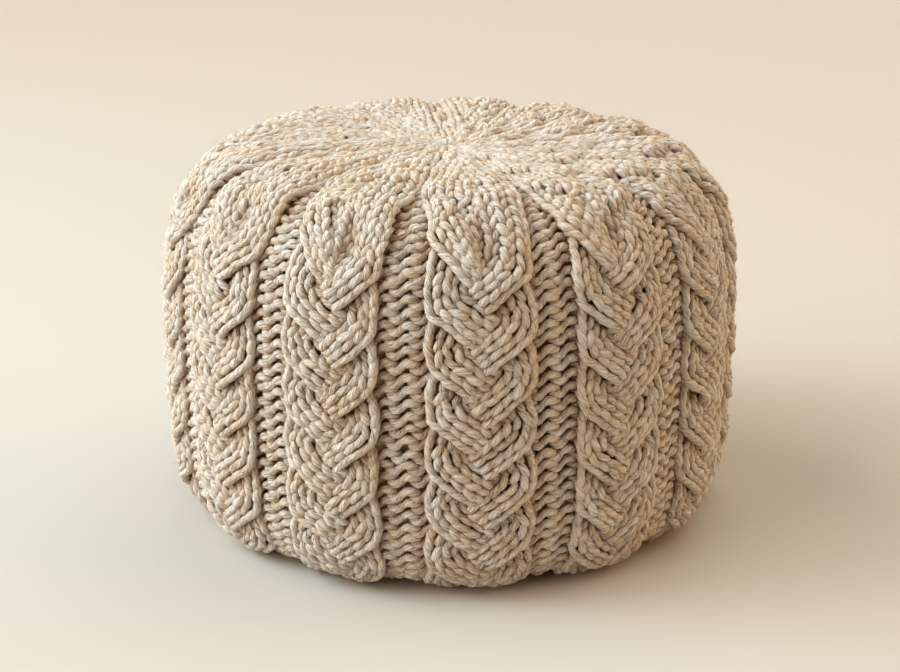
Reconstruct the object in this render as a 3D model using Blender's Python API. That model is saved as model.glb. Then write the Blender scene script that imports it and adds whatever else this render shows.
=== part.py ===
"""A knitted pouf: one round filled floor cushion in a hand-knitted cover.

The cover is thirteen raised plait panels with a sunken strip of purl rows between
each two. On top the strips close up and every panel runs to the gathered middle.
Below, plaits and strips run under the rounded edge and fade out at the flat base.

Lengths are in metres. The pouf stands on z = 0 with its axis on +Z.
"""

import math
from collections import namedtuple
from itertools import pairwise

import bmesh
import bpy

RADIUS = 0.250            # over the plaits, at the widest
HEIGHT = 0.322            # to the top of the plaits
PANELS = 13
FIRST_PANEL = math.radians(5.6)  # where the front panel's middle lies, from -Y towards +X
STRIP_DEPTH = 0.011       # how far the purl strips lie below the plaits
PLAIT_RELIEF = 0.007      # between the crown of a plait's strand and the dip beside it
ROW = 0.01055             # height of one row of knitting
PLAIT_REPEAT = 4.06 * ROW
FIRST_CROSSING = 22.6 * ROW  # from the middle of the top, down the cover
FINE_STEP = PLAIT_REPEAT / 4  # between two rings of points on the sides
TOP_STEP = 0.021          # and on the top, where nothing is plaited
STRAND_SLANT = 0.8        # repeats that a strand drops on its way over the middle
YARN_COLOUR = (0.56, 0.46, 0.35, 1.0)

# From the middle of the top, over the rim and down to the edge of the flat base:
# shares of RADIUS, HEIGHT, STRIP_DEPTH and PLAIT_RELIEF, and the part of a panel's
# width that its strip takes.
Station = namedtuple("Station", "radius height sunk relief strip")
STATIONS = (
    Station(0.000, 0.978, 0.00, 0.00, 0.10),
    Station(0.060, 0.985, 0.15, 0.00, 0.10),
    Station(0.200, 0.997, 0.35, 0.00, 0.10),
    Station(0.400, 1.000, 0.45, 0.10, 0.12),
    Station(0.560, 1.000, 0.55, 0.40, 0.15),
    Station(0.690, 0.994, 0.70, 0.70, 0.18),
    Station(0.829, 0.957, 1.00, 1.00, 0.30),
    Station(0.942, 0.855, 1.00, 1.00, 0.34),
    Station(0.989, 0.718, 1.00, 1.00, 0.345),
    Station(1.000, 0.560, 1.00, 1.00, 0.345),
    Station(1.000, 0.400, 1.00, 1.00, 0.345),
    Station(0.997, 0.260, 1.00, 1.00, 0.345),
    Station(0.979, 0.129, 0.95, 1.00, 0.34),
    Station(0.935, 0.048, 0.80, 0.80, 0.33),
    Station(0.868, 0.008, 0.40, 0.40, 0.32),
    Station(0.815, 0.000, 0.00, 0.00, 0.32),
)

# Points across one half of a panel, from the middle of its plait to the strip's
# floor: a share of the plait's half width, a share of the strip's, and the depth.
Point = namedtuple("Point", "plait strip sunk")
FINE_POINTS = (
    Point(0.21, 0.00, 0.00),
    Point(0.64, 0.00, 0.07),
    Point(1.00, 0.00, 0.40),
    Point(1.00, 0.42, 1.00),
)
COARSE_POINTS = (
    Point(0.45, 0.00, 0.00),
    Point(1.00, 0.42, 1.00),
)
COARSE_WITHIN = 0.60      # share of RADIUS inside which the coarse points serve


def slopes(stations):
    """Change of every column per metre at each station, for a smooth curve."""
    steps = [[(b - a) / math.dist(one[:2], two[:2]) for a, b in zip(one, two)]
             for one, two in pairwise(stations)]
    middle = [[(a + b) / 2 for a, b in zip(one, two)] for one, two in pairwise(steps)]
    return [steps[0]] + middle + [steps[-1]]


def profile(samples=24):
    """The stations joined by a smooth curve: [(distance down the cover, Station)]."""
    sized = [Station(s.radius * RADIUS, s.height * HEIGHT, *s[2:]) for s in STATIONS]
    knots = list(zip(sized, slopes(sized)))
    curve = []
    for (start, leaving), (end, arriving) in pairwise(knots):
        reach = math.dist(start[:2], end[:2])
        for k in range(samples):
            t = k / samples
            shares = (2 * t**3 - 3 * t**2 + 1, (t**3 - 2 * t**2 + t) * reach,
                      3 * t**2 - 2 * t**3, (t**3 - t**2) * reach)
            columns = zip(start, leaving, end, arriving)
            curve.append(Station(*(
                sum(share * value for share, value in zip(shares, column))
                for column in columns)))
    curve.append(sized[-1])
    measured = [(0.0, curve[0])]
    for one, two in pairwise(curve):
        measured.append((measured[-1][0] + math.dist(one[:2], two[:2]), two))
    return measured


def at(curve, distance):
    """The Station at a distance down the cover, and the outward normal there."""
    for (d1, one), (d2, two) in pairwise(curve):
        if distance <= d2:
            break
    t = (distance - d1) / (d2 - d1)
    here = Station(*(a + (b - a) * t for a, b in zip(one, two)))
    run, drop = two.radius - one.radius, two.height - one.height
    length = math.hypot(run, drop)
    return here, (-drop / length, run / length)


def strand_relief(across, distance):
    """Depth, 0 to 1, below the strands of the plait: each side's strands start at
    the plait's edge and slant down over its middle, half a repeat from the other's."""
    turn = (distance - FIRST_CROSSING) / PLAIT_REPEAT
    turn -= STRAND_SLANT * (1 - abs(across))
    if across > 0:
        turn += 0.5
    return 0.5 + 0.5 * math.cos(2 * math.pi * turn)


def ring(curve, distance, points):
    """One closed ring of (angle, position) round the pouf."""
    here, (out, up) = at(curve, distance)
    placed = []
    for panel in range(PANELS):
        middle = FIRST_PANEL + panel * 2 * math.pi / PANELS
        for side in (-1, 1):
            for point in points[::side]:
                across = point.plait * (1 - here.strip) + point.strip * here.strip
                depth = point.sunk * here.sunk * STRIP_DEPTH
                if point.strip == 0:
                    dip = strand_relief(side * point.plait, distance)
                    depth += dip * here.relief * PLAIT_RELIEF
                angle = middle + side * across * math.pi / PANELS
                radius = here.radius - depth * out
                placed.append((angle, (radius * math.sin(angle),
                                       -radius * math.cos(angle),
                                       here.height - depth * up)))
    return placed


def zip_rings(bm, upper, lower):
    """Joins two rings of (angle, vertex), which may differ in their number, by
    taking the shorter of the two diagonals each time."""
    i = j = 0
    while i < len(upper) or j < len(lower):
        vert_u = upper[i % len(upper)][1]
        vert_l = lower[j % len(lower)][1]
        next_u = upper[(i + 1) % len(upper)][1]
        next_l = lower[(j + 1) % len(lower)][1]
        upper_nearer = math.dist(next_u.co, vert_l.co) < math.dist(vert_u.co, next_l.co)
        if j >= len(lower) or (i < len(upper) and upper_nearer):
            bm.faces.new((vert_u, vert_l, next_u))
            i += 1
        else:
            bm.faces.new((vert_u, vert_l, next_l))
            j += 1


def join_rings(bm, upper, lower):
    """Quads between two rings of the same number, triangles between others."""
    if len(upper) != len(lower):
        zip_rings(bm, upper, lower)
        return
    for k in range(len(upper)):
        n = (k + 1) % len(upper)
        bm.faces.new((upper[k][1], lower[k][1], lower[n][1], upper[n][1]))


def ring_distances(curve):
    """Distances down the cover of the rings, wide apart on the top."""
    last = curve[-1][0]
    rim = next(d for d, s in curve if s.radius >= COARSE_WITHIN * RADIUS)
    top_rings = round(rim / TOP_STEP)
    side_rings = round((last - rim) / FINE_STEP)
    top = [rim * (k + 1) / top_rings for k in range(top_rings)]
    return top + [rim + (last - rim) * (k + 1) / side_rings for k in range(side_rings)]


def pouf_mesh():
    bm = bmesh.new()
    curve = profile()
    rings = []
    for distance in ring_distances(curve):
        inside = at(curve, distance)[0].radius < COARSE_WITHIN * RADIUS
        upper_half = distance < curve[-1][0] / 2
        points = COARSE_POINTS if inside and upper_half else FINE_POINTS
        rings.append([(angle, bm.verts.new(place))
                      for angle, place in ring(curve, distance, points)])
    for upper, lower in pairwise(rings):
        join_rings(bm, upper, lower)
    gather = bm.verts.new((0, 0, curve[0][1].height))
    first = [vert for _, vert in rings[0]]
    for one, two in pairwise(first + first[:1]):
        bm.faces.new((gather, one, two))
    base = bm.faces.new([vert for _, vert in reversed(rings[-1])])
    bmesh.ops.triangulate(bm, faces=[f for f in bm.faces if f is not base])
    bmesh.ops.recalc_face_normals(bm, faces=bm.faces)
    mesh = bpy.data.meshes.new("knitted_pouf")
    bm.to_mesh(mesh)
    bm.free()
    mesh.shade_smooth()
    mesh.set_sharp_from_angle(angle=math.radians(50))
    return mesh


def yarn_material():
    material = bpy.data.materials.new("oatmeal_wool")
    material.use_nodes = True
    shader = material.node_tree.nodes["Principled BSDF"]
    shader.inputs["Base Color"].default_value = YARN_COLOUR
    shader.inputs["Roughness"].default_value = 0.9
    shader.inputs["Metallic"].default_value = 0.0
    shader.inputs["Sheen Weight"].default_value = 0.3
    return material


def build():
    for obj in list(bpy.data.objects):
        bpy.data.objects.remove(obj)
    mesh = pouf_mesh()
    mesh.materials.append(yarn_material())
    bpy.context.scene.collection.objects.link(bpy.data.objects.new("knitted_pouf", mesh))


build()
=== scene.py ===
import math
from itertools import pairwise

import bpy
import numpy as np
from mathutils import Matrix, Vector


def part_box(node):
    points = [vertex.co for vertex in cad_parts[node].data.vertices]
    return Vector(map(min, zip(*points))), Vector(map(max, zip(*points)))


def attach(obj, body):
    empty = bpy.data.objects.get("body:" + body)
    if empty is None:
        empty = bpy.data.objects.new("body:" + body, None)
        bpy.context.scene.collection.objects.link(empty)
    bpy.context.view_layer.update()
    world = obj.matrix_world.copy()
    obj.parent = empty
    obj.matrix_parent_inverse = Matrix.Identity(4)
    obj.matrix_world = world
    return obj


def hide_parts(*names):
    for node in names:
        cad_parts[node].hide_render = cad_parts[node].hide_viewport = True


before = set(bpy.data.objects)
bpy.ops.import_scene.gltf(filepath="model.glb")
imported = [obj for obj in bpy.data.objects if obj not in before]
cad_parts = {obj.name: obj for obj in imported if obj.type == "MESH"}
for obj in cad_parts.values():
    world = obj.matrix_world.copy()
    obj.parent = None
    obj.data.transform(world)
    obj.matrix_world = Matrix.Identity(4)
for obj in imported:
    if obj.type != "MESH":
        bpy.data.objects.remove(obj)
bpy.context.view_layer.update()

lowCorner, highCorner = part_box("knitted_pouf")
panelCount = 13
panelAngle = 2 * math.pi / panelCount
firstPanel = math.radians(5.6)  # the front panel's middle, from -Y towards +X
rowHeight = 0.01055  # one row of knitting
coverRadius = max(highCorner[0], -lowCorner[1])
coverHeight = highCorner[2]
lowestYarn = 0.0003  # above the floor


def smoothTable(rows, samples=24):
    # rows of any number of columns, the first two being a place in metres
    rows = np.array(rows, float)
    reach = np.linalg.norm(np.diff(rows[:, :2], axis=0), axis=1)
    steps = np.diff(rows, axis=0) / reach[:, None]
    slopes = np.vstack([steps[:1], (steps[1:] + steps[:-1]) / 2, steps[-1:]])
    t = (np.arange(samples) / samples)[:, None]
    curve = []
    for i, length in enumerate(reach):
        curve.append(rows[i] * (2 * t**3 - 3 * t**2 + 1)
                     + slopes[i] * length * (t**3 - 2 * t**2 + t)
                     + rows[i + 1] * (3 * t**2 - 2 * t**3)
                     + slopes[i + 1] * length * (t**3 - t**2))
    return np.vstack(curve + [rows[-1:]])


def pointsMesh(name, places, edges=(), **fields):
    # a mesh of points, with one value or vector per point in each field
    mesh = bpy.data.meshes.new(name)
    mesh.from_pydata(np.asarray(places).tolist(), [tuple(e) for e in edges], [])
    for field, values in fields.items():
        values = np.asarray(values, np.float32)
        kind = "FLOAT_VECTOR" if values.ndim == 2 else "FLOAT"
        data = mesh.attributes.new(field, kind, "POINT").data
        data.foreach_set("vector" if values.ndim == 2 else "value", values.ravel())
    return mesh


class TreeBuilder:
    # a short way to write node trees down
    def __init__(self, tree):
        self.tree = tree

    def add(self, kind, inputs=(), **settings):
        node = self.tree.nodes.new(kind)
        for name, value in settings.items():
            setattr(node, name, value)
        for key, value in dict(inputs).items():
            socket = node.inputs[key]
            if isinstance(value, bpy.types.NodeSocket):
                self.tree.links.new(value, socket)
            else:
                socket.default_value = value
        return node

    def maths(self, operation, one, two=0.0, kind="ShaderNodeMath"):
        node = self.add(kind, {0: one, 1: two}, operation=operation)
        return node.outputs[0]

    def vector(self, operation, one, two=(0, 0, 0)):
        return self.maths(operation, one, two, "ShaderNodeVectorMath")

    def scaled(self, vector, factor):
        node = self.add("ShaderNodeVectorMath", {0: vector, "Scale": factor}, operation="SCALE")
        return node.outputs[0]

    def combined(self, x=0.0, y=0.0, z=0.0):
        return self.add("ShaderNodeCombineXYZ", {0: x, 1: y, 2: z}).outputs[0]

    def tinted(self, colour, share, tint):
        node = self.add("ShaderNodeMix", {0: share, 6: colour, 7: tint}, data_type="RGBA",
                        blend_type="MULTIPLY")
        return node.outputs[2]


def newGeometryTree(name, sizes):
    # sizes: the tree's inputs, name -> default
    tree = bpy.data.node_groups.new(name, "GeometryNodeTree")
    tree.interface.new_socket("Geometry", in_out="INPUT", socket_type="NodeSocketGeometry")
    for label, default in sizes.items():
        kind = "NodeSocketInt" if isinstance(default, int) else "NodeSocketFloat"
        socket = tree.interface.new_socket(label, in_out="INPUT", socket_type=kind)
        socket.default_value = default
    tree.interface.new_socket("Yarn", in_out="INPUT", socket_type="NodeSocketMaterial")
    tree.interface.new_socket("Geometry", in_out="OUTPUT", socket_type="NodeSocketGeometry")
    build = TreeBuilder(tree)
    start = build.add("NodeGroupInput")
    return build, start.outputs


def finishTree(build, geometry, given):
    realized = build.add("GeometryNodeRealizeInstances", {"Geometry": geometry})
    smooth = build.add("GeometryNodeSetShadeSmooth", {"Geometry": realized.outputs[0]})
    finished = build.add("GeometryNodeSetMaterial", {"Geometry": smooth.outputs[0],
                                                     "Material": given["Yarn"]})
    build.add("NodeGroupOutput", {0: finished.outputs[0]})
    return build.tree


def namedField(build, name, kind="FLOAT"):
    node = build.add("GeometryNodeInputNamedAttribute", {"Name": name}, data_type=kind)
    return node.outputs[0]


def sweepYarn(build, curve, sides, radius, scale):
    # a tube of yarn, which keeps where along and where round the yarn each point lies
    ring = build.add("GeometryNodeCurvePrimitiveCircle", {"Resolution": sides, "Radius": radius})
    ringPlace = build.add("GeometryNodeStoreNamedAttribute",
                          {"Geometry": ring.outputs[0], "Name": "roundYarn",
                           "Value": build.add("GeometryNodeInputPosition").outputs[0]},
                          data_type="FLOAT_VECTOR", domain="POINT")
    length = build.add("GeometryNodeSplineParameter").outputs["Length"]
    runPlace = build.add("GeometryNodeStoreNamedAttribute",
                         {"Geometry": curve, "Name": "alongYarn", "Value": length},
                         data_type="FLOAT", domain="POINT")
    tube = build.add("GeometryNodeCurveToMesh",
                     {"Curve": runPlace.outputs[0], "Profile Curve": ringPlace.outputs[0],
                      "Scale": scale, "Fill Caps": True})
    split = build.add("ShaderNodeSeparateXYZ", {0: namedField(build, "roundYarn", "FLOAT_VECTOR")})
    place = build.combined(namedField(build, "alongYarn"), split.outputs[0], split.outputs[1])
    stored = build.add("GeometryNodeStoreNamedAttribute",
                       {"Geometry": tube.outputs[0], "Name": "yarnPlace", "Value": place},
                       data_type="FLOAT_VECTOR", domain="POINT")
    for spare in ("roundYarn", "alongYarn"):
        stored = build.add("GeometryNodeRemoveAttribute",
                           {"Geometry": stored.outputs[0], "Name": spare})
    return stored.outputs[0]


def newObject(name, data):
    thing = bpy.data.objects.new(name, data)
    bpy.context.scene.collection.objects.link(thing)
    return thing


def runTree(mesh, tree, inputs):
    # runs the tree on the mesh and returns the result as a plain mesh
    guide = newObject(mesh.name, mesh)
    modifier = guide.modifiers.new("stitches", "NODES")
    modifier.node_group = tree
    for item in tree.interface.items_tree:
        if item.in_out == "INPUT" and item.name in inputs:
            modifier[item.identifier] = inputs[item.name]
    graph = bpy.context.evaluated_depsgraph_get()
    result = bpy.data.meshes.new_from_object(guide.evaluated_get(graph))
    guide.modifiers.remove(modifier)
    bpy.data.objects.remove(guide)
    bpy.data.meshes.remove(mesh)
    return result


def addPiece(name, mesh):
    mesh.name = name
    for point in mesh.vertices:
        point.co.z = max(point.co.z, lowestYarn)  # what lies under the base is pressed flat
    piece = newObject(name, mesh)
    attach(piece, "root")
    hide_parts("knitted_pouf")
    return piece


# the cover's form: the same turned profile as the solid, carried on under the base
coverStations = [
    # share of radius, share of height, sunk strip, plait relief, strip's share of a panel
    (0.000, 0.978, 0.00, 0.00, 0.10),
    (0.060, 0.985, 0.15, 0.00, 0.10),
    (0.200, 0.997, 0.35, 0.00, 0.10),
    (0.400, 1.000, 0.45, 0.10, 0.12),
    (0.560, 1.000, 0.55, 0.40, 0.15),
    (0.690, 0.994, 0.70, 0.70, 0.18),
    (0.829, 0.957, 1.00, 1.00, 0.30),
    (0.942, 0.855, 1.00, 1.00, 0.34),
    (0.989, 0.718, 1.00, 1.00, 0.345),
    (1.000, 0.560, 1.00, 1.00, 0.345),
    (1.000, 0.400, 1.00, 1.00, 0.345),
    (0.997, 0.260, 1.00, 1.00, 0.345),
    (0.979, 0.129, 0.95, 1.00, 0.34),
    (0.935, 0.048, 0.80, 0.80, 0.33),
    (0.868, 0.008, 0.60, 0.40, 0.30),
    (0.815, 0.000, 0.50, 0.10, 0.25),
    (0.600, 0.000, 0.40, 0.00, 0.12),
    (0.300, 0.000, 0.30, 0.00, 0.10),
    (0.000, 0.000, 0.20, 0.00, 0.10),
]
coverCurve = smoothTable([(r * coverRadius, h * coverHeight, *rest)
                          for r, h, *rest in coverStations])
coverStep = np.linalg.norm(np.diff(coverCurve[:, :2], axis=0), axis=1)
coverRows = np.concatenate([[0], np.cumsum(coverStep)]) / rowHeight  # rows from the top's middle
coverSlope = np.gradient(coverCurve[:, :2], axis=0)
coverSlope /= np.linalg.norm(coverSlope, axis=1)[:, None]
lastRow = coverRows[-1]


def coverAt(rows):
    # radius, height, sunk, relief, strip, and the slope (outwards, upwards) at these rows
    columns = [np.interp(rows, coverRows, column) for column in coverCurve.T]
    run, rise = (np.interp(rows, coverRows, column) for column in coverSlope.T)
    length = np.hypot(run, rise)
    return (*columns, run / length, rise / length)


def onCover(angle, rows, depth):
    # places on the cover, depth metres above it
    radius, height, _, _, _, run, rise = coverAt(rows)
    out = radius - depth * rise
    return np.stack([out * np.sin(angle), -out * np.cos(angle), height + depth * run], -1)


def outOfCover(angle, rows):
    run, rise = coverAt(rows)[5:]
    return np.stack([-rise * np.sin(angle), rise * np.cos(angle), run], -1)


def downCover(angle, rows):
    run, rise = coverAt(rows)[5:]
    return np.stack([run * np.sin(angle), -run * np.cos(angle), rise], -1)


yarnLook = {
    "cream": (0.86, 0.84, 0.815, 1),
    "light": (0.83, 0.79, 0.74, 1),
    "middle": (0.74, 0.67, 0.585, 1),
    "dark": (0.42, 0.33, 0.24, 1),
    "tan": (0.95, 0.84, 0.71, 1),         # over the colours above, where the dye took more
    "paintedCreaseShade": (0.46, 0.32, 0.20, 1),  # painted shade over them down in the gaps
    "shades": {"dark": 0.36, "middle": 0.46, "light": 0.55, "cream": 0.66},
    "surface": {"Roughness": 0.92, "Specular IOR Level": 0.08, "Sheen Weight": 0.18,
                "Sheen Roughness": 0.5, "Sheen Tint": (1.0, 0.93, 0.82, 1)},
    "twist": 200.0,       # radians per metre
    "plies": 5,
    "plyWaver": 1.8,      # how far the lines between the plies stray
    "plyRound": 0.6,
    "plyPaintedShade": 0.06,     # how much lighter the middle of a ply is painted than the lines between plies, which take painted shade
    "plyMean": 0.75,      # share of that over the whole yarn
    "plyHeight": 0.3,
    "plyGroovePaintedShade": 0.30,    # how much painted shade the lines between plies take
    "toneShade": 0.035,   # how much one stitch differs from the next
    "toneDye": 0.07,
    "toneShift": 3.7,
    # grain that follows the yarn: its stretch, and its shares of the shade and the height
    "streaks": {"stretch": (55, 420, 420), "detail": 2.0, "shade": 0.18, "height": 0.5},
    "fibres": {"stretch": (90, 1000, 1000), "detail": 2.0, "shade": 0.32, "height": 1.3},
    "flecks": {"stretch": (260, 600, 600), "detail": 1.0, "shade": 0.32, "height": 0.4},
    "patches": {"scale": 45.0, "detail": 3.0, "shade": 0.25},
    "dye": {"scale": 48.0, "detail": 3.0, "from": 0.32, "to": 0.68},
    "bump": 0.0019,       # metres
}


def makeYarn(name, look, onYarn=True):
    material = bpy.data.materials.new(name)
    material.use_nodes = True
    build = TreeBuilder(material.node_tree)
    shader = material.node_tree.nodes["Principled BSDF"]
    for socket, value in look["surface"].items():
        shader.inputs[socket].default_value = value
    objectPlace = build.add("ShaderNodeTexCoord").outputs["Object"]
    if onYarn:
        place = build.add("ShaderNodeAttribute", attribute_name="yarnPlace").outputs["Vector"]
        along = build.add("ShaderNodeSeparateXYZ", {0: place}).outputs[0]
        angle = build.maths("MULTIPLY", along, look["twist"])
        twisted = build.add("ShaderNodeVectorRotate", {"Vector": place, "Angle": angle},
                            rotation_type="X_AXIS").outputs[0]
        tone = build.add("ShaderNodeAttribute", attribute_name="tone").outputs["Fac"]
        shift = build.combined(build.maths("MULTIPLY", tone, look["toneShift"]))
        shifted = build.vector("ADD", twisted, shift)
    else:
        shifted = objectPlace

    def noise(place, scale, detail):
        return build.add("ShaderNodeTexNoise", {"Vector": place, "Scale": scale,
                                                "Detail": detail}).outputs["Fac"]

    def added(total, part, share):
        return build.maths("ADD", total, build.maths("MULTIPLY", part, share))

    grain = {}
    for kind in ("streaks", "fibres", "flecks"):
        stretched = build.vector("MULTIPLY", shifted, look[kind]["stretch"])
        grain[kind] = noise(stretched, 1.0, look[kind]["detail"])
    patches = noise(objectPlace, look["patches"]["scale"], look["patches"]["detail"])
    shade = height = 0.0
    for kind in ("streaks", "fibres", "flecks"):
        shade = added(shade, grain[kind], look[kind]["shade"])
        height = added(height, grain[kind], look[kind]["height"])
    shade = added(shade, patches, look["patches"]["shade"])
    if onYarn:
        shade = added(shade, tone, look["toneShade"])
        split = build.add("ShaderNodeSeparateXYZ", {0: twisted})
        around = build.maths("ARCTAN2", split.outputs[2], split.outputs[1])
        around = added(around, grain["streaks"], look["plyWaver"])
        wave = build.maths("SINE", build.maths("MULTIPLY", around, look["plies"] / 2))
        plies = build.maths("POWER", build.maths("ABSOLUTE", wave), look["plyRound"])
        # painted shade: the lines between the plies darker in colour, the middles of the plies
        # lighter
        shade = added(shade, plies, look["plyPaintedShade"])
        shade = build.maths("SUBTRACT", shade, look["plyMean"] * look["plyPaintedShade"])
    ramp = build.add("ShaderNodeValToRGB", {"Fac": shade})
    points = ramp.color_ramp.elements
    points[0].position = look["shades"]["dark"]
    points[1].position = look["shades"]["cream"]
    points[0].color = look["dark"]
    points[1].color = look["cream"]
    for between in ("middle", "light"):
        points.new(look["shades"][between]).color = look[between]
    # the wool is unevenly dyed: a little browner here and there
    elsewhere = build.vector("ADD", objectPlace, (3, 1, 2))
    dye = noise(elsewhere, look["dye"]["scale"], look["dye"]["detail"])
    if onYarn:
        dye = added(dye, tone, look["toneDye"])
    browner = build.add("ShaderNodeMapRange", {"Value": dye, "From Min": look["dye"]["from"],
                                               "From Max": look["dye"]["to"]})
    colour = build.tinted(ramp.outputs["Color"], browner.outputs[0], look["tan"])
    if onYarn:
        height = added(height, plies, look["plyHeight"])
        # painted shade: the yarn's colour is made darker and warmer down in the gaps and in the
        # lines between plies, where the fibres shade each other
        buried = build.add("ShaderNodeAttribute", attribute_name="buried").outputs["Fac"]
        groovesShadeMask = build.maths("SUBTRACT", 1.0, plies)
        creaseShadeMask = build.add("ShaderNodeClamp", {"Value": added(buried, groovesShadeMask,
                                                              look["plyGroovePaintedShade"])})
        colour = build.tinted(colour, creaseShadeMask.outputs[0], look["paintedCreaseShade"])
    bump = build.add("ShaderNodeBump", {"Strength": 1.0, "Distance": look["bump"],
                                        "Height": height})
    links = material.node_tree.links
    links.new(colour, shader.inputs["Base Color"])
    links.new(bump.outputs["Normal"], shader.inputs["Normal"])
    return material


yarn = makeYarn("oatmealYarn", yarnLook)
# a darker, browner copy of the yarn for the body under the stitches: painted shade in the holes
# between them
paintedShadeBackingLook = dict(yarnLook, cream=(0.60, 0.45, 0.31, 1), light=(0.52, 0.39, 0.26, 1),
                   middle=(0.44, 0.32, 0.20, 1), dark=(0.32, 0.22, 0.13, 1))
paintedShadeBacking = makeYarn("paintedShadeYarn", paintedShadeBackingLook, onYarn=False)
print("yarn ready")


def wobbleField(build, given):
    # hand knitting is never quite even
    noise = build.add("ShaderNodeTexNoise", {"W": given["Seed"], "Scale": 55.0, "Detail": 1.0},
                      noise_dimensions="4D")
    centred = build.vector("SUBTRACT", noise.outputs["Color"], (0.5, 0.5, 0.5))
    return build.scaled(centred, build.maths("MULTIPLY", given["Wobble"], 2.0))


def layYarn(build, given, pushes, fullness):
    # bends each guide line along its own directions and sweeps one piece of yarn along it
    move = None
    for name, amount in pushes.items():
        push = build.scaled(namedField(build, name, "FLOAT_VECTOR"), amount)
        move = push if move is None else build.vector("ADD", move, push)
    move = build.vector("ADD", move, wobbleField(build, given))
    bent = build.add("GeometryNodeSetPosition", {"Geometry": given["Geometry"], "Offset": move})
    line = build.add("GeometryNodeMeshToCurve", {"Mesh": bent.outputs[0]})
    girth = build.maths("MULTIPLY", namedField(build, "girth"), fullness)
    tube = sweepYarn(build, line.outputs[0], given["Sides"], given["Yarn Radius"], girth)
    return finishTree(build, tube, given)


def makeStitchTree():
    # each guide line is one knit stitch: it arches up and its ends plunge and narrow
    build, given = newGeometryTree("plaitStitches", {
        "Yarn Radius": 0.0034,
        "Arch": 0.002,
        "Plunge": 0.002,
        "End Taper": 0.3,
        "Wobble": 0.0008,
        "Sides": 7,
        "Seed": 1.0,
    })
    fromMiddle = namedField(build, "fromMiddle")  # -1 at the start, 1 at the end
    square = build.maths("MULTIPLY", fromMiddle, fromMiddle)
    arched = build.maths("MULTIPLY", build.maths("SUBTRACT", 1.0, square), given["Arch"])
    sunk = build.maths("MULTIPLY", build.maths("POWER", square, 2.0), given["Plunge"])
    pull = namedField(build, "pull")  # how clearly a stitch stands apart from the next
    lift = build.maths("MULTIPLY", build.maths("SUBTRACT", arched, sunk), pull)
    aside = build.maths("MULTIPLY", fromMiddle, namedField(build, "lean"))
    narrow = build.maths("MULTIPLY", build.maths("POWER", square, 1.6), given["End Taper"])
    fullness = build.maths("SUBTRACT", 1.0, build.maths("MULTIPLY", narrow, pull))
    return layYarn(build, given, {"out": lift, "across": aside}, fullness)


# one purl loop from its left tip: a cup, a slow rise to a bow, and a quick return behind it
loop = {
    "share": (0, 0.09, 0.18, 0.365, 0.55, 0.66, 0.77, 0.885, 1),
    "across": (-0.33, -0.25, -0.18, -0.066, 0.048, 0.15, 0.225, -0.03, -0.33),
    "up": (-0.45, -0.85, -1, 0, 1, 0.8, 0.3, -0.1, -0.45),
    "out": (-0.40, 0.1, 0.36, 0.12, 0.42, 0.18, -0.4, -1, -0.40),
    "full": (-0.8, 0.1, 0.7, -0.4, 0.8, 0.4, -0.7, -1, -0.8),
}


def loopLine(build, share, part, size):
    # a smooth line through one part of the loop, times the size
    node = build.add("ShaderNodeFloatCurve", {"Value": share})
    line = node.mapping.curves[0].points
    points = [(x, 0.5 + 0.5 * y) for x, y in zip(loop["share"], loop[part])]
    line[0].location = points[0]
    line[1].location = points[-1]
    for x, y in points[1:-1]:
        line.new(x, y)
    node.mapping.update()
    centred = build.maths("SUBTRACT", node.outputs[0], 0.5)
    return build.maths("MULTIPLY", centred, build.maths("MULTIPLY", size, 2.0))


def makePurlTree():
    # a guide line runs across a strip and is bent into a row of loops
    build, given = newGeometryTree("purlRows", {
        "Loop Height": 0.0031,
        "Loop Depth": 0.0038,
        "Loop Width": 0.0188,
        "Loop Taper": 0.1,
        "Yarn Radius": 0.0034,
        "Wobble": 0.001,
        "Sides": 6,
        "Seed": 1.0,
    })
    share = build.maths("FRACT", namedField(build, "wales"))
    up = loopLine(build, share, "up", given["Loop Height"])
    pushes = {
        "down": build.maths("MULTIPLY", up, -1.0),
        "out": loopLine(build, share, "out", given["Loop Depth"]),
        "across": loopLine(build, share, "across", given["Loop Width"]),
    }
    fuller = loopLine(build, share, "full", given["Loop Taper"])
    return layYarn(build, given, pushes, build.maths("ADD", fuller, 1.0))


# three strands cross in turn, each of five columns of stitches
plait = {
    "firstLeft": (22.3, 27.5),      # rows where a strand leaves the left edge
    "firstRight": (24.8, 29.3),
    "repeat": 4.07,         # rows between two crossings on one side, after that
    "lastCrossing": 53.5,
    "shift": 0.5,           # rows by which the first crossings of a panel may lie elsewhere
    "shiftLeft": 0.4,       # share of that for those further down
    "columns": 5,
    "mostColumns": 7,       # a long strand is wider
    "leastShown": 0.8,      # rows on which a further column has to show
    "edge": 0.0402,         # from the plait's middle to its outer column
    "spacing": 0.0066,      # between two columns
    "halfWidth": 0.0396,    # of the plait, where the pouf is widest
    "crown": 0.0112,        # between a crossing strand and the lowest one
    "yarnRadius": 0.0035,
    "stitch": {"Arch": 0.0020, "Plunge": 0.0044, "End Taper": 0.42, "Wobble": 0.0024,
               "Sides": 6},
    "seed": 11,
    # for the columns of a strand, from the outer one inwards:
    # rows from the crossing before to where it comes up, how much lower it lies, how
    # soon it comes up, and how much lower still it is at its corner
    "begins": (0.25, 1.10, 1.60, 2.10, 2.60, 3.05, 3.50),
    "lower": (0.06, 0.0, 0.0, 0.07, 0.22, 0.32, 0.34),
    "rise": (0.30, 0.27, 0.30, 0.26, 0.0, -0.10, -0.10),
    "late": (0.0, 0.0, 0.0, 0.0, 0.16, 0.16, 0.16),
}
# how strongly the strands already stand out on the top of each panel
topRelief = [0.55, 0.9, 1.0, 1.0, 0.95, 0.9, 0.9, 0.9, 0.75, 0.65, 0.5, 0.5, 0.5]
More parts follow.
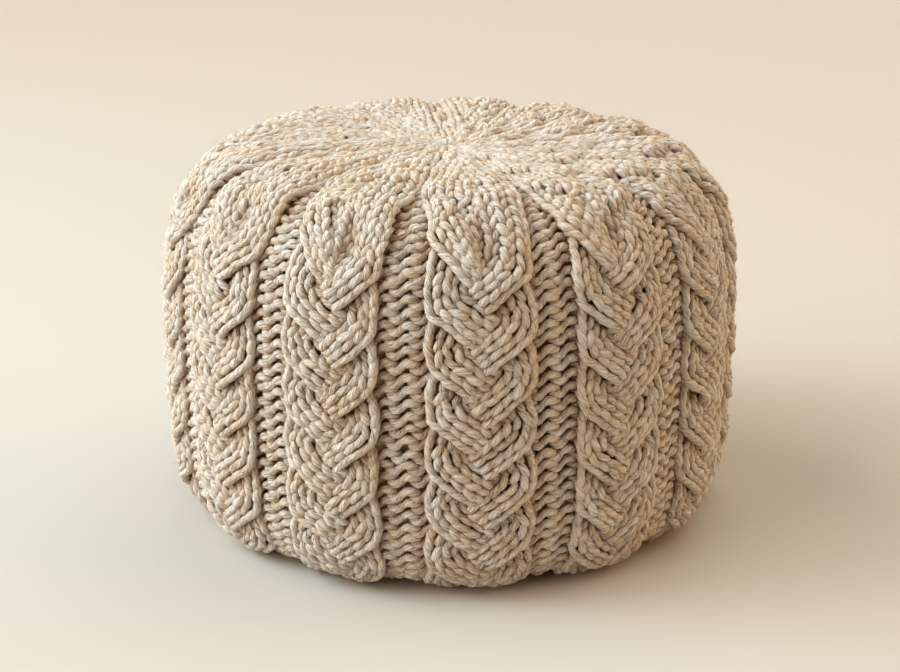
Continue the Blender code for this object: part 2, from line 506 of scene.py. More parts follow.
# sides of panels that are narrower: (panel, side) -> share of the width
slimSides = {(12, 1): 0.87, (1, -1): 0.91}
# the row where the strip to the right of each panel opens
stripTop = [16.0, 19.8, 18.5, 18.8, 19.8, 20.4, 20.6, 20.2, 19.8, 18.6, 18.2, 18.4, 17.8]

# where nothing is plaited the columns lie side by side as ribs
ribs = {
    "spacing": 0.0064,      # between two columns
    "edge": 0.0036,         # from the groove to the first of them
    "tight": 0.70,          # share of both that is left at a gather
    "tightWithin": 0.4,     # share of the pouf's radius inside which they draw together
    "partsAbove": 3.2,      # rows above a strip's opening where they begin to part
    "partsOver": 3.6,
    "joined": 58,           # the row under the base where they are together again
    "joinsOver": 4,
    "goesOn": -0.0034,      # a column may go on till it would be this far past the middle
    "ends": 0.0010,         # its counterpart on the other side ends this far before it
    "least": 0.0003,        # distance of a column from the middle
    "firstRow": 0.45,       # where the outer columns leave the gather
    "gather": (0.3, 0.5),   # rows left open in the middle of the top and of the base
    "topEnd": 0.45,         # height of a column's end at each gather
    "baseEnd": 0.1,
    "baseBegins": 2.5,      # rows below the start of the last strand's columns
    "baseLift": (0.2, 0.24),    # how much higher than usual these come up
    "pointsPerRow": 1.5,
    # on top there are low crossings
    "crossRow": 15.9,       # where one begins at the panel's edge
    "ripple": 5.6,          # rows between two of them
    "slant": 2,             # rows that one drops on its way to the middle
    "high": 0.9,            # height just above it
    "fall": 0.7,            # how much lower it is just below
    "growth": 0.7,          # 1 if it grew evenly from one to the next
}


def columnOnRibs(column, rows, opening):
    # metres from the panel's middle: the columns follow the groove or the strip beside them
    radius, _, _, _, strip = coverAt(rows)[:5]
    tight = np.interp(radius / coverRadius, [0, ribs["tightWithin"]], [ribs["tight"], 1])
    opened = np.clip((rows - opening + ribs["partsAbove"]) / ribs["partsOver"], 0, 1)
    opened = opened * np.clip((ribs["joined"] - rows) / ribs["joinsOver"], 0, 1)
    edge = radius * panelAngle / 2 * (1 - strip * opened) - ribs["edge"] * (1 - opened) * tight
    return edge - column * ribs["spacing"] * tight


def plaitScale(rows):
    # how much narrower a plait is at these rows than where the pouf is widest
    radius, _, _, _, strip = coverAt(rows)[:5]
    return radius * panelAngle / 2 * (1 - strip) / plait["halfWidth"]


def dyingRow(column, side, start, end, opening):
    # on the way to a gather, where the column ends; where the columns of both sides meet,
    # one of them goes on along the middle till there is no room for it
    rows = np.linspace(start, end, 300)
    least = ribs["goesOn"] if (side > 0) == (column % 2 == 0) else ribs["ends"]
    blocked = np.nonzero(columnOnRibs(column, rows, opening) < least)[0]
    return rows[blocked[0]] if len(blocked) else rows[-1]


def ribPath(column, side, start, end, relief, opening):
    # from one row to another: (distance from the panel's middle, row, height)
    rows = np.linspace(start, end, max(3, round(abs(end - start) * ribs["pointsPerRow"])))
    across = np.maximum(columnOnRibs(column, rows, opening), ribs["least"])
    share = across / (coverAt(rows)[0] * panelAngle / 2)
    # the height grows down to a slanting line and drops there
    turn = (rows - ribs["crossRow"] - ribs["slant"] * (1 - share)) / ribs["ripple"]
    turn = turn + (0.5 if side > 0 else 0)
    high = ribs["high"] - ribs["fall"] * relief * (1 - (turn % 1.0) ** ribs["growth"])
    return list(zip(across / plaitScale(rows), rows, high))


def topStart(column, side, end, relief, opening):
    # from the gathered middle of the top
    top = ribs["firstRow"]
    if column:
        top = dyingRow(column, side, end, ribs["gather"][0], opening)
    path = ribPath(column, side, top, end, relief, opening)
    path[0] = (*path[0][:2], ribs["topEnd"])
    return path


# how a strand crosses: for its outer column and then how much more for each next one,
# metres from the plait's middle and rows from the crossing
usualCrossing = {"upright": (plait["edge"], -plait["spacing"]), "corner": (-0.18, -0.30),
                 "tipAcross": (0.0053, -0.0040), "tip": (2.3, -0.49)}
# the first strand crosses at leisure
firstCrossing = {"upright": (plait["edge"], -0.0056), "corner": (-0.7, -0.5),
                 "tipAcross": (0.0090, -0.0055), "tip": (2.9, -0.31)}
# the line of a column of a strand goes through these points: metres aside, rows down and
# height (1 on the crown, 0 lowest), from where it comes up, its corner and its tip
strandLine = {
    "under": (-0.0065, -0.85, -0.75),     # still under the strand before
    "up": (-0.0030, 0, 0.06),
    "swollen": (0.00196, 0, 0.60),        # halfway down to the corner
    "aboveCorner": (0.00084, -0.55, 0.74),
    "belowCorner": (-0.0035, 0.25, 0.88),
    "slanting": (-0.001, 0, 1.0),         # between the corner and the tip
    "tip": (0, 0, 0.90),
    "diving": (-0.0032, 0.26, 0.25),
    "gone": (-0.0042, 0.32, -0.35),       # under the strand that crosses next
}
strand = {
    "leavesLeft": 1.5,      # rows above its corner where the first left one leaves the ribs
    "leavesRight": 18.0,    # the row where the first right one does
    "belowOpening": 0.6,    # or so many below the strip's opening, if that is lower
    "leastUpright": 0.5,    # rows from the end of an arch to the corner
    "longUpright": 1.6,     # with more rows than this it swells
    "longSlant": 0.010,     # metres aside above which the slant has a point of its own
    "slantShare": 0.54,     # share of the way to the tip where that lies
    "apart": 0.003,         # from a tip to the inner column of the strand it dives under
}
# a first strand that comes over from the middle in an arch
arch = {
    "panels": (10, 12),     # where the first left strand does so
    "row": 15.9,            # where its outer column shows beside the middle
    "drop": 2.5,            # rows that its outer column drops
    "dropLess": 0.5,        # and how much less for each next one
    "leastDrop": 0.3,
    "tip": 0.001,           # from the plait's middle
    "under": (-0.005, 0.25, -0.4),   # before that: metres aside, rows below, and height
    # its line: share of the way aside, share of the drop, height
    "line": ((0, 0, 0.45), (0.5, 0.134, 0.62), (0.85, 0.47, 0.66), (1, 1, 0.62)),
    "outline": (2.2, 0.036),   # it lies this many rows lower so far from the middle
    "ribsEnd": 0.6,         # rows above its outline
    "ends": ((0, 0.3), (0.6, -0.5)),   # then they go under it: rows below it, and height
}


def columnPlace(crossing, what, column, node=0.0):
    first, step = crossing[what]
    return node + first + step * column


def pointBy(name, across, row, higher=0.0):
    aside, down, height = strandLine[name]
    return across + aside, row + down, height + higher


def strandStart(column, previous):
    # just below the strand that crossed before
    return previous + plait["begins"][column]


def strandColumns(node, previous):
    # how many columns of a strand show
    count = plait["columns"]
    while count < plait["mostColumns"]:
        corner = columnPlace(usualCrossing, "corner", count, node)
        if previous and corner - strandStart(count, previous) < plait["leastShown"]:
            break
        count += 1
    return count


def archStart(column, upright):
    drop = max(arch["drop"] - arch["dropLess"] * column, arch["leastDrop"])
    top = arch["row"] + arch["drop"] - drop
    reach = upright - arch["tip"]
    aside, down, height = arch["under"]
    return [(aside, top + down, height)] + [
        (arch["tip"] + along * reach, top + lower * drop, height)
        for along, lower, height in arch["line"]]


def strandColumn(column, node, side, previous, room, panel):
    # one column of a strand, from where it comes up to where it dives under
    crossing = firstCrossing if side < 0 and not previous else usualCrossing
    upright = columnPlace(crossing, "upright", column)
    corner = columnPlace(crossing, "corner", column, node)
    tipAcross = max(columnPlace(crossing, "tipAcross", column), strand["apart"] - room)
    tip = columnPlace(crossing, "tip", column, node)
    lower = plait["lower"][column]
    rise = plait["rise"][column]
    late = plait["late"][column]
    if previous:
        start = strandStart(column, previous)
        path = [pointBy("under", upright, start, 0.5 * rise),
                pointBy("up", upright, start, rise - lower)]
    elif side < 0 and panel in arch["panels"]:
        path = archStart(column, upright)
        start = path[-1][1]
        corner = max(corner, start + strand["leastUpright"])
    elif side < 0:
        start = corner - strand["leavesLeft"]
        path = topStart(column, side, start, topRelief[panel], stripTop[panel - 1])
    else:
        start = max(strand["leavesRight"], stripTop[panel] + strand["belowOpening"])
        path = topStart(column, side, start, topRelief[panel], stripTop[panel])
    if corner - start > strand["longUpright"]:
        path.append(pointBy("swollen", upright, (start + corner) / 2, 0.4 * rise - lower))
    path.append(pointBy("aboveCorner", upright, corner, -lower - late))
    path.append(pointBy("belowCorner", upright, corner, -lower - late / 2))
    if upright - tipAcross > strand["longSlant"]:
        along = strand["slantShare"]
        path.append(pointBy("slanting", 0.5 * (upright + tipAcross),
                            corner * (1 - along) + tip * along, -lower))
    path.append(pointBy("tip", tipAcross, tip, -lower))
    path.append(pointBy("diving", tipAcross, tip))
    path.append(pointBy("gone", tipAcross, tip))
    return np.array(path)


def topColumn(column, panel):
    # the columns of the top that end under an arching strand
    rows, reach = arch["outline"]
    upright = columnPlace(usualCrossing, "upright", column)
    boundary = arch["row"] + rows * (upright / reach) ** 2
    path = topStart(column, -1, boundary - arch["ribsEnd"], topRelief[panel],
                    stripTop[panel - 1])
    across = path[-1][0]
    return np.array(path + [(across, boundary + down, height) for down, height in arch["ends"]])


def lastColumn(column, side, previous):
    # under the base a column no longer crosses, it runs to the middle
    upright = columnPlace(usualCrossing, "upright", column)
    start = strandStart(column, previous)
    lift = ribs["baseLift"]
    path = [pointBy("under", upright, start, lift[0]), pointBy("up", upright, start, lift[1])]
    begin = start + ribs["baseBegins"]
    end = dyingRow(column, side, begin, lastRow - ribs["gather"][1], 0)
    path += ribPath(column, side, begin, end, 0.0, 0)
    path[-1] = (*path[-1][:2], ribs["baseEnd"])
    return np.array(path)


def smoothLine(path, samples=10):
    # a smooth line through all the points
    ends = np.vstack([2 * path[0] - path[1], path, 2 * path[-1] - path[-2]])
    t = (np.arange(samples) / samples)[:, None]
    pieces = []
    for a, b, c, d in zip(ends, ends[1:], ends[2:], ends[3:]):
        pieces.append(0.5 * (2 * b + (c - a) * t + (2 * a - 5 * b + 4 * c - d) * t**2
                             + (3 * b - a - 3 * c + d) * t**3))
    return np.vstack(pieces + [path[-1:]])


def reliefAt(rows, top):
    # top: how strongly the strands stand out on top of the panel
    return np.interp(rows, [0, 5, 13, 17, 21, 25, 50, 55, 60],
                     [0.15, 0.25 + 0.4 * top, 0.3 + 0.5 * top, 0.35 + 0.5 * top, 0.9, 1, 1, 0.5,
                      0.15])


# the panels are rounded: their sides sink towards the groove between two of them
groove = {
    "deep": 0.011,
    "shallow": 0.75,        # share of that on top, where the strip is closed
    "above": 7,             # rows from there to the strip's opening
    "below": 1.5,           # and from the opening to the full depth
    "round": 1.5,           # 1 for a flat slope
    # the row, and the share of a panel's half where its side begins to sink
    "rows": (0, 14, 20, 52, 58),
    "begins": (0.15, 0.30, 0.58, 0.58, 0.3),
}


def grooveDepth(share, rows, opening):
    near = [opening - groove["above"], opening + groove["below"]]
    sunk = coverAt(rows)[2] * np.interp(rows, near, [groove["shallow"], 1])
    begins = np.interp(rows, groove["rows"], groove["begins"])
    side = np.clip((share - begins) / (1 - begins), 0, 1)
    return groove["deep"] * sunk * side ** groove["round"]


def straying(dice, size, count, apart=14):
    # smooth random values for a number of places on a line
    knots = dice.normal(0, size, max(2, count // apart) + 2)
    return np.interp(np.linspace(0, len(knots) - 1, count), np.arange(len(knots)), knots)


# the stitches along a column
stitches = {
    "points": 6,            # along one stitch
    "overlap": 1.42,        # length of a stitch over the distance between two
    "outerOverlap": 1.22,   # times this in the outer column of a strand
    "lean": 0.32,           # how far a stitch's ends lean aside
    "outerLean": 0.45,      # times this in the outer column
    "slantLean": 0.6,       # how much less they lean where the column slants
    "slantPitch": 0.12,     # and how much further apart they are there
    "apartRows": (12, 19),  # they stand apart less clearly on the top, in these shares
    "apart": (0.42, 1.0),
    "slantApart": 0.25,     # and this much less where the column slants
    "deep": 0.0004,         # below the crown
    "rimRows": (6, 14, 18, 22),    # the rim is well filled: how much higher they lie
    "rimFill": (0, 0.0024, 0.0024, 0),
    "sideWidth": 0.99,      # of a side that isn't slim
    "slimFrom": 18,         # the row where a slim side begins to be so
    "slimOver": 5,
    "uneven": 0.0007,       # how far a column strays from its line
    "unevenPlace": 0.07,    # shares by which the stitches differ
    "unevenLength": 0.05,
    "unevenLean": 0.07,
    "unevenGirth": 0.065,
}


def columnStitches(path, panel, side, column, dice, coarse=1.0):
    # guide lines for the stitches of one column, one after another
    line = smoothLine(path)
    across, rows, lift = line.T
    across = across + straying(dice, stitches["uneven"], len(line))
    slim = slimSides.get((panel, side), stitches["sideWidth"])
    slimming = np.clip((rows - stitches["slimFrom"]) / stitches["slimOver"], 0, 1)
    across = across * (1 - (1 - slim) * slimming)
    local = across / plait["halfWidth"] * (1 - coverAt(rows)[4])  # share of half a panel
    angle = firstPanel + (panel + side * local / 2) * panelAngle
    low = (1 - np.maximum(lift, 0)) * reliefAt(rows, topRelief[panel]) + np.maximum(-lift, 0)
    depth = -plait["yarnRadius"] - stitches["deep"] - plait["crown"] * low
    depth -= grooveDepth(np.abs(local), rows, stripTop[panel if side > 0 else panel - 1])
    depth += np.interp(rows, stitches["rimRows"], stitches["rimFill"])
    depth = depth + straying(dice, stitches["uneven"], len(line))
    places = onCover(angle, rows, depth)
    outs = outOfCover(angle, rows)
    step = np.linalg.norm(np.diff(places, axis=0), axis=1)
    slant = np.abs(np.diff(angle)) * coverAt(rows)[0][1:] / np.maximum(step, 1e-9)
    slant = np.clip(slant, 0, 1)
    run = np.concatenate([[0], np.cumsum(step)])
    pitches = rowHeight * coarse * (1 + stitches["slantPitch"] * slant)
    count = np.concatenate([[0], np.cumsum(step / pitches)])
    total = max(2, round(count[-1]))
    stray = stitches["unevenPlace"]
    turns = (np.arange(total) + 0.5 + dice.uniform(-stray, stray, total)) / total
    centres = np.interp(turns * count[-1], count, run)
    pitch = np.gradient(centres)
    length = pitch * stitches["overlap"] * (1.0 if column else stitches["outerOverlap"])
    length *= dice.normal(1.0, stitches["unevenLength"], total)
    fromMiddle = np.linspace(-1, 1, stitches["points"])
    where = centres[:, None] + fromMiddle * length[:, None] / 2

    def along(values):
        return np.stack([np.interp(where, run, v) for v in np.atleast_2d(values.T)], -1)

    spots = along(places)
    beyond = np.clip(where - run[-1], 0, None) + np.clip(where, None, 0)
    heading = np.gradient(spots, axis=1)
    heading /= np.maximum(np.linalg.norm(heading, axis=2), 1e-9)[..., None]
    endWay = (places[-1] - places[-2]) / step[-1]
    spots += beyond[..., None] * endWay
    out = along(outs)
    lateral = np.cross(out, heading)
    amount = stitches["lean"] * (1.0 if column else stitches["outerLean"])
    slanting = np.interp(centres, run[1:], slant)
    way = side if column % 2 else -side  # the two legs of a knit stitch lean together
    lean = way * amount * (1 - stitches["slantLean"] * slanting)
    lean = lean + dice.normal(0, stitches["unevenLean"], total)
    pull = np.interp(np.interp(centres, run, rows), stitches["apartRows"], stitches["apart"])
    pull = pull * (1 - stitches["slantApart"] * slanting)
    girth = dice.normal(1.0, stitches["unevenGirth"], total)
    tone = dice.uniform(-1, 1, total)
    return {
        "places": spots.reshape(-1, 3),
        "out": out.reshape(-1, 3),
        "across": lateral.reshape(-1, 3),
        "fromMiddle": np.tile(fromMiddle, total),
        "lean": np.repeat(lean * length / 2, stitches["points"]),
        "pull": np.repeat(pull, stitches["points"]),
        "girth": np.repeat(girth, stitches["points"]),
        "tone": np.repeat(tone, stitches["points"]),
    }


def stitchMesh(name, parts):
    fields = {key: np.concatenate([part[key] for part in parts]) for key in parts[0]}
    places = fields.pop("places")
    edges = [(k, k + 1) for k in range(len(places) - 1) if (k + 1) % stitches["points"]]
    return pointsMesh(name, places, edges, **fields)


def stitchYarn(look, parts, tree, seed):
    return runTree(stitchMesh("stitchGuide", parts), tree, {
        **look["stitch"], "Yarn Radius": plait["yarnRadius"], "Seed": seed, "Yarn": yarn})


def crossings(first, shift):
    rows = [row + shift for row in first[:-1]]
    row = first[-1] + shift * plait["shiftLeft"]
    while row < plait["lastCrossing"]:
        rows.append(row)
        row += plait["repeat"]
    return rows


def makePlait(panel, tree, undersideParts):
    dice = np.random.default_rng(plait["seed"] + panel)
    shift = dice.uniform(-plait["shift"], plait["shift"]) if panel else 0.0
    nodes = {-1: crossings(plait["firstLeft"], shift), 1: crossings(plait["firstRight"], shift)}
    strands = [(node, side, previous) for side in (-1, 1)
               for previous, node in zip([None] + nodes[side], nodes[side])]
    strands.sort(key=lambda one: one[0])
    parts = []
    for k, one in enumerate(strands):
        # the strand dives under the next one from the other side
        over = next((other for other in strands[k + 1:] if other[1] != one[1]), None)
        width = strandColumns(over[0], over[2]) if over else plait["columns"]
        room = plait["edge"] - plait["spacing"] * (width - 1) if over else 1.0
        for column in range(strandColumns(one[0], one[2])):
            path = strandColumn(column, *one, room, panel)
            parts.append(columnStitches(path, panel, one[1], column, dice))
    if panel in arch["panels"]:
        for column in range(plait["columns"]):
            parts.append(columnStitches(topColumn(column, panel), panel, -1, column, dice))
    for side in (-1, 1):
        for column in range(plait["columns"]):
            path = lastColumn(column, side, nodes[side][-1])
            undersideParts.append(columnStitches(path, panel, side, column, dice,
                                                 coarse=underside["coarse"]))
    result = stitchYarn(plait, parts, tree, float(panel))
    return addPiece(f"plait_{panel + 1:02d}", result)


# under the base the same knitting is pressed flat
underside = {
    "coarse": 2.0,        # length of a stitch there over one on the sides
    "stitch": {"Arch": 0.0008, "Plunge": 0.0030, "End Taper": 0.35, "Wobble": 0.0004,
               "Sides": 5},
    "seed": 40.0,
}

stitchTree = makeStitchTree()
undersideParts = []
plaits = [makePlait(panel, stitchTree, undersideParts) for panel in range(panelCount)]
basePiece = addPiece("underside", stitchYarn(underside, undersideParts, stitchTree,
                                             underside["seed"]))
print("plaits ready")


# the strips of purl rows between the plaits
purl = {
    "aboveTop": 3.2,      # rows that start above the place where the strip opens
    "lastRow": 54.0,
    "wale": 0.0188,       # width of a loop
    "samples": 12,        # points on each loop
    "tuck": 0.006,        # how far a row runs under the plait beside it
    "yarnRadius": 0.0034,
    "sunk": 0.0066,       # from the plait's crown down to the loops
    "ground": 0.003,      # how much deeper they lie all over
    "edgeDip": 0.0030,    # how much lower a row lies at its ends
    "firstLoop": 0.74,    # where the loops of the first strip begin, in loops
    "nextLoop": 0.31,     # and how far on they begin in each strip after it
    "loop": {"Loop Height": 0.0032, "Loop Depth": 0.0040, "Loop Taper": 0.16,
             "Wobble": 0.0016, "Sides": 6},
    "tones": 16,          # loops of a row before its shades come round again
    "toneFrom": 0.08,     # a loop's shade begins this share before its left tip
    "unevenRow": 0.05,    # in rows
    "unevenDepth": 0.0003,
    "unevenStart": 0.05,  # in loops
    "unevenGirth": 0.05,
    "seed": 29,
}


def makePurlStrip(panel, tree):
    dice = np.random.default_rng(purl["seed"] + panel)
    middle = firstPanel + (panel + 0.5) * panelAngle
    places, edges = [], []
    fields = {key: [] for key in ("wales", "down", "out", "across", "girth", "tone")}
    for row in np.arange(stripTop[panel] - purl["aboveTop"], purl["lastRow"], 1.0):
        radius, _, sunk, _, strip = coverAt(row)[:5]
        half = radius * strip * panelAngle / 2 + purl["tuck"]
        wale = purl["wale"] * min(1.0, (radius / coverRadius) ** 0.5)
        count = 2 * math.ceil(half / wale * purl["samples"]) + 1
        offset = np.linspace(-half, half, count)
        rows = np.full(count, row) + dice.normal(0, purl["unevenRow"])
        angle = middle + offset / radius
        depth = -purl["sunk"] * sunk - purl["yarnRadius"] - purl["ground"]
        depth = depth + dice.normal(0, purl["unevenDepth"])
        depth = depth - purl["edgeDip"] * (offset / half) ** 2
        start = len(places)
        places.extend(onCover(angle, rows, depth))
        edges.extend(pairwise(range(start, start + count)))
        wales = offset / wale + purl["firstLoop"] + purl["nextLoop"] * panel
        wales = wales + dice.normal(0, purl["unevenStart"])
        fields["wales"].extend(wales)
        fields["down"].extend(downCover(angle, rows))
        fields["out"].extend(outOfCover(angle, rows))
        fields["across"].extend(np.stack([np.cos(angle), np.sin(angle), 0 * angle], -1))
        which = np.floor(wales + purl["toneFrom"]).astype(int) % purl["tones"]
        fields["girth"].extend(dice.normal(1.0, purl["unevenGirth"], purl["tones"])[which])
        fields["tone"].extend(dice.uniform(-1, 1, purl["tones"])[which])
    result = runTree(pointsMesh("purlGuide", places, edges, **fields), tree, {
        **purl["loop"], "Loop Width": purl["wale"], "Yarn Radius": purl["yarnRadius"],
        "Seed": float(panel), "Yarn": yarn})
    return addPiece(f"purl_strip_{panel + 1:02d}", result)


purlTree = makePurlTree()
strips = [makePurlStrip(panel, purlTree) for panel in range(panelCount)]
print("purl strips ready")


# the filled body under the stitches, in a darker copy of the yarn that paints shade into the holes
# between them
body = {
    "underPlait": 0.0122,    # how deep it lies below the plaits' crown
    "underStrip": 0.0178,
    "flatPlait": 0.45,       # shares of these where the cover is smooth
    "flatStrip": 0.35,
    "slope": 0.35,           # share of a strip's width over which it sinks
    "around": 8 * panelCount,
    "rings": 60,
    "ends": 0.35,            # rows left open at the two middles, under the last faces
    "baseGap": 0.003,
}


def makeBody():
    rows = np.linspace(body["ends"], lastRow - body["ends"], body["rings"])
    _, _, sunk, relief, strip = coverAt(rows)[:5]
    angle = firstPanel + np.arange(body["around"]) / body["around"] * 2 * math.pi
    across = np.abs(((angle - firstPanel) / panelAngle + 0.5) % 1.0 - 0.5) * 2  # 0 plait, 1 strip
    edge = 1 - strip[:, None]
    inStrip = np.clip((across[None, :] - edge) / (body["slope"] * strip[:, None]) + 0.5, 0, 1)
    stripShare = body["flatStrip"] + (1 - body["flatStrip"]) * sunk[:, None]
    plaitShare = body["flatPlait"] + (1 - body["flatPlait"]) * relief[:, None]
    deep = body["underStrip"] * stripShare
    shallow = body["underPlait"] * plaitShare
    depth = -(shallow + (deep - shallow) * inStrip)
    grid = onCover(np.broadcast_to(angle, depth.shape),
                   np.broadcast_to(rows[:, None], depth.shape), depth)
    grid[..., 2] = np.maximum(grid[..., 2], body["baseGap"])
    count = body["around"]
    places = grid.reshape(-1, 3)
    faces = []
    for first in range(0, len(places) - count, count):
        for k in range(count):
            n = (k + 1) % count
            faces.append((first + k, first + count + k, first + count + n, first + n))
    faces.append(tuple(range(count)))
    faces.append(tuple(reversed(range(len(places) - count, len(places)))))
    mesh = bpy.data.meshes.new("pouf_body")
    mesh.from_pydata(places.tolist(), [], faces)
    mesh.shade_smooth()
    mesh.materials.append(paintedShadeBacking)
    piece = addPiece("pouf_body", mesh)


makeBody()
print("body ready")


# painted shade in the gaps: how deep each point of yarn lies below the stitches around it, which
# darkens its colour there
gaps = {
    "cell": 0.002,      # of the map of heights, in metres
    "around": 0.007,    # distance over which the heights are averaged
    "deep": 0.0100,     # a point this far below the average gets the full painted shade
    "least": 0.1,       # painted shade of a point that is level with it
    "bottom": -0.03,    # height of a cell without a point
    "lower": 0.0004,    # how far such a cell then lies below the cells beside it
    "batch": 40000,     # points that are placed at once, to save memory
}


def placesOf(piece):
    flat = np.empty(len(piece.data.vertices) * 3, np.float32)
    piece.data.vertices.foreach_get("co", flat)
    return flat.reshape(-1, 3)


def aboveCover(places):
    # the row on the cover beside each place, and the height above the cover
    out = np.hypot(places[:, 0], places[:, 1])
    nearest = np.empty(len(places), int)
    curve = coverCurve[:, :2].astype(np.float32)
    for start in range(0, len(places), gaps["batch"]):
        part = slice(start, start + gaps["batch"])
        apart = (out[part, None] - curve[:, 0]) ** 2 + (places[part, 2, None] - curve[:, 1]) ** 2
        nearest[part] = apart.argmin(1)
    run, rise = coverSlope[nearest].T
    radius, height = curve[nearest].T
    high = (out - radius) * -rise + (places[:, 2] - height) * run
    return coverRows[nearest], high


def markGaps(pieces):
    allPlaces = [placesOf(piece) for piece in pieces]
    places = np.concatenate(allPlaces)
    rows, high = aboveCover(places)
    down = (rows * rowHeight / gaps["cell"]).astype(int)
    cellsRound = round(2 * math.pi * coverRadius / gaps["cell"])
    turn = np.arctan2(places[:, 0], -places[:, 1]) / (2 * math.pi) % 1.0
    beside = (turn * cellsRound).astype(int) % cellsRound
    heights = np.full((down.max() + 1, cellsRound), gaps["bottom"])
    np.maximum.at(heights, (down, beside), high)
    for axis in (0, 1):  # cells without a point take the height beside them
        beyond = np.maximum(np.roll(heights, 1, axis), np.roll(heights, -1, axis))
        heights = np.maximum(heights, beyond - gaps["lower"])
    reach = round(gaps["around"] / gaps["cell"])
    window = range(-reach, reach + 1)
    level = sum(np.roll(heights, k, 1) for k in window) / len(window)
    level = sum(np.roll(level, k, 0) for k in window) / len(window)
    buried = np.clip((level[down, beside] - high) / gaps["deep"] + gaps["least"], 0, 1)
    start = 0
    for piece, own in zip(pieces, allPlaces):
        data = piece.data.attributes.new("buried", "FLOAT", "POINT").data
        data.foreach_set("value", buried[start:start + len(own)].astype(np.float32))
        start += len(own)


markGaps(plaits + strips + [basePiece])
print("gaps ready")


# loose fibres that stand off the wool
fuzz = {
    "count": 11000,
    "length": 0.0075,
    "shortest": 0.4,     # shares of the length
    "longest": 1.3,
    "thickness": 0.00014,
    "leastRise": 0.25,   # how steeply they stand up from the yarn, in radians
    "mostRise": 1.1,
    "open": 0.35,        # they grow only where the yarn is less buried than this
    "nearFloor": 0.01,   # below this height they never point down
    "seed": 61,
}


def makeFuzzTree():
    build, given = newGeometryTree("looseFibres", {"Thickness": 0.0002})
    # a closed three-sided spike, one metre long and turned and shortened for each fibre
    spike = build.add("GeometryNodeMeshCone", {"Vertices": 3, "Radius Top": 0.0,
                                               "Radius Bottom": given["Thickness"],
                                               "Depth": 1.0}, fill_type="NGON")
    heading = build.add("FunctionNodeAlignRotationToVector",
                        {"Vector": namedField(build, "heading", "FLOAT_VECTOR")}, axis="Z")
    size = build.combined(1.0, 1.0, namedField(build, "length"))
    points = build.add("GeometryNodeMeshToPoints", {"Mesh": given["Geometry"]})
    fibres = build.add("GeometryNodeInstanceOnPoints",
                       {"Points": points.outputs[0], "Instance": spike.outputs["Mesh"],
                        "Rotation": heading.outputs[0], "Scale": size})
    return finishTree(build, fibres.outputs[0], given)


def makeFuzz(pieces):
    dice = np.random.default_rng(fuzz["seed"])
    bases, outs = [], []
    for piece in pieces:
        points = piece.data.vertices
        normals = np.empty(len(points) * 3, np.float32)
        points.foreach_get("normal", normals)
        depth = np.empty(len(points), np.float32)
        piece.data.attributes["buried"].data.foreach_get("value", depth)
        free = depth < fuzz["open"]
        bases.append(placesOf(piece)[free])
        outs.append(normals.reshape(-1, 3)[free])
    base, out = np.concatenate(bases), np.concatenate(outs)
    chosen = dice.choice(len(base), fuzz["count"], replace=False)
    base, out = base[chosen], out[chosen]
    aside = np.cross(out, dice.normal(size=base.shape))
    aside /= np.linalg.norm(aside, axis=1)[:, None]
    rise = dice.uniform(fuzz["leastRise"], fuzz["mostRise"], fuzz["count"])[:, None]
    heading = aside * np.cos(rise) + out * np.sin(rise)
    low = base[:, 2] < fuzz["nearFloor"]
    heading[low, 2] = np.abs(heading[low, 2])
    length = fuzz["length"] * dice.uniform(fuzz["shortest"], fuzz["longest"], fuzz["count"])
    guide = pointsMesh("fibreGuide", base, heading=heading, length=length)
    result = runTree(guide, makeFuzzTree(), {"Thickness": fuzz["thickness"], "Yarn": fibre})
    return addPiece("loose_fibres", result)


fibre = makeYarn("looseWool", yarnLook, onYarn=False)
makeFuzz(plaits + strips)
print("loose fibres ready")


# floor, light and camera
studio = {
    "floorReach": 9.0,    # to each side
    "floorColour": (0.552, 0.512, 0.466, 1),
    "floorRoughness": 0.9,
    "airColour": (1.0, 0.62, 0.36, 1),
    "airStrength": 0.03,
    "wallColour": (0.80, 0.70, 0.57, 1),   # what is seen past the floor
    "window": {"place": (-2.4, -0.2, 1.9), "width": 1.6, "power": 67,
               "colour": (0.50, 0.79, 0.92)},
    "lamps": [
        # from the left, above and behind, then a little warm light from the front and right
        {"from": (-0.96, -0.03, 0.28), "softness": 95, "strength": 5.2, "colour": (1, 0.88, 0.78)},
        {"from": (0.0, -0.03, 1.0), "softness": 80, "strength": 0.84, "colour": (0.98, 0.99, 1.0)},
        {"from": (0.4, 0.5, 0.75), "softness": 60, "strength": 1.12, "colour": (1.0, 0.95, 0.76)},
        {"from": (0.0, -0.91, 0.42), "softness": 60, "strength": 0.18, "colour": (1.0, 0.58, 0.12)},
        {"from": (0.95, 0.08, 0.31), "softness": 60, "strength": 1.8, "colour": (1.0, 0.68, 0.38)},
    ],
    "viewUp": 19.0,       # degrees above level
    "viewDistance": 1.65,
    "viewHeight": 0.1415,
    "lens": 74.2,
    "filmWidth": 36,
}


def facingMiddle(place):
    return (-Vector(place)).to_track_quat("-Z", "Y").to_euler()


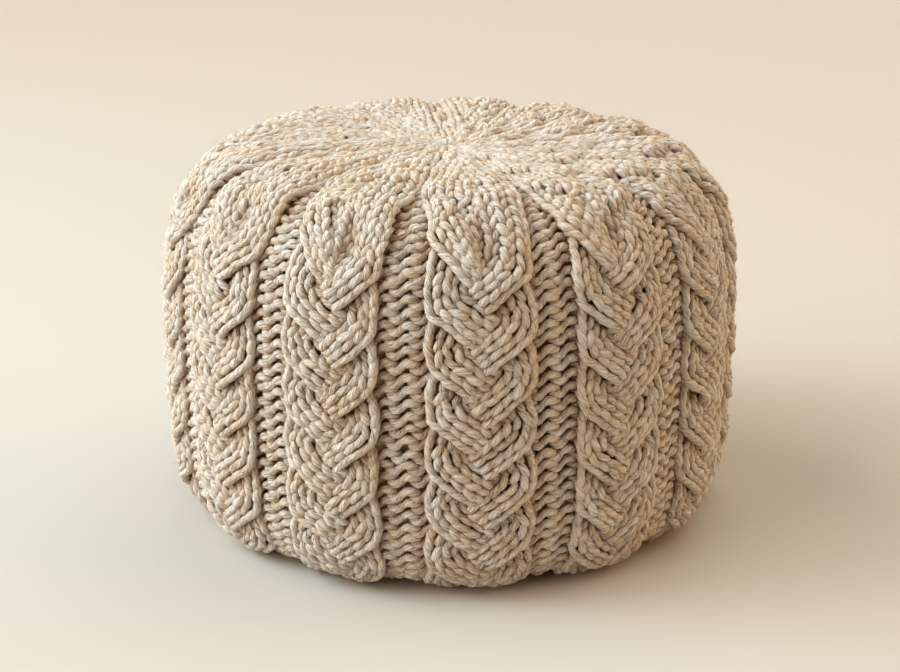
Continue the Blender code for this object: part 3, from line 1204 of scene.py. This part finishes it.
def makeStudio():
    floorMesh = bpy.data.meshes.new("floor")
    reach = studio["floorReach"]
    floorMesh.from_pydata([(-reach, -reach, 0), (reach, -reach, 0), (reach, reach, 0),
                           (-reach, reach, 0)], [], [(0, 1, 2, 3)])
    floor = newObject("floor", floorMesh)
    paint = bpy.data.materials.new("paleFloor")
    paint.use_nodes = True
    shader = paint.node_tree.nodes["Principled BSDF"]
    shader.inputs["Base Color"].default_value = studio["floorColour"]
    shader.inputs["Roughness"].default_value = studio["floorRoughness"]
    floorMesh.materials.append(paint)

    world = bpy.data.worlds.new("studio")
    world.use_nodes = True
    air = world.node_tree.nodes["Background"]
    air.inputs["Color"].default_value = studio["airColour"]
    air.inputs["Strength"].default_value = studio["airStrength"]
    build = TreeBuilder(world.node_tree)
    wall = build.add("ShaderNodeBackground", {"Color": studio["wallColour"]})
    seen = build.add("ShaderNodeLightPath").outputs["Is Camera Ray"]
    choice = build.add("ShaderNodeMixShader", {0: seen, 1: air.outputs[0], 2: wall.outputs[0]})
    world.node_tree.links.new(choice.outputs[0],
                              world.node_tree.nodes["World Output"].inputs["Surface"])
    bpy.context.scene.world = world

    window = studio["window"]
    windowData = bpy.data.lights.new("window", "AREA")
    windowData.shape = "DISK"
    windowData.size = window["width"]
    windowData.energy = window["power"]
    windowData.color = window["colour"]
    opening = newObject("window", windowData)
    opening.location = window["place"]
    opening.rotation_euler = facingMiddle(window["place"])
    opening.visible_camera = False
    for lamp in studio["lamps"]:
        lampData = bpy.data.lights.new("lamp", "SUN")
        lampData.energy = lamp["strength"]
        lampData.angle = math.radians(lamp["softness"])
        lampData.color = lamp["colour"]
        newObject("lamp", lampData).rotation_euler = facingMiddle(lamp["from"])

    eyeData = bpy.data.cameras.new("camera")
    eyeData.lens = studio["lens"]
    eyeData.sensor_width = studio["filmWidth"]
    eye = newObject("camera", eyeData)
    up = math.radians(studio["viewUp"])
    eye.location = (0, -studio["viewDistance"] * math.cos(up),
                    studio["viewHeight"] + studio["viewDistance"] * math.sin(up))
    eye.rotation_euler = (math.pi / 2 - up, 0, 0)
    bpy.context.scene.camera = eye
    bpy.context.scene.view_settings.view_transform = "Standard"


makeStudio()
print("studio ready")
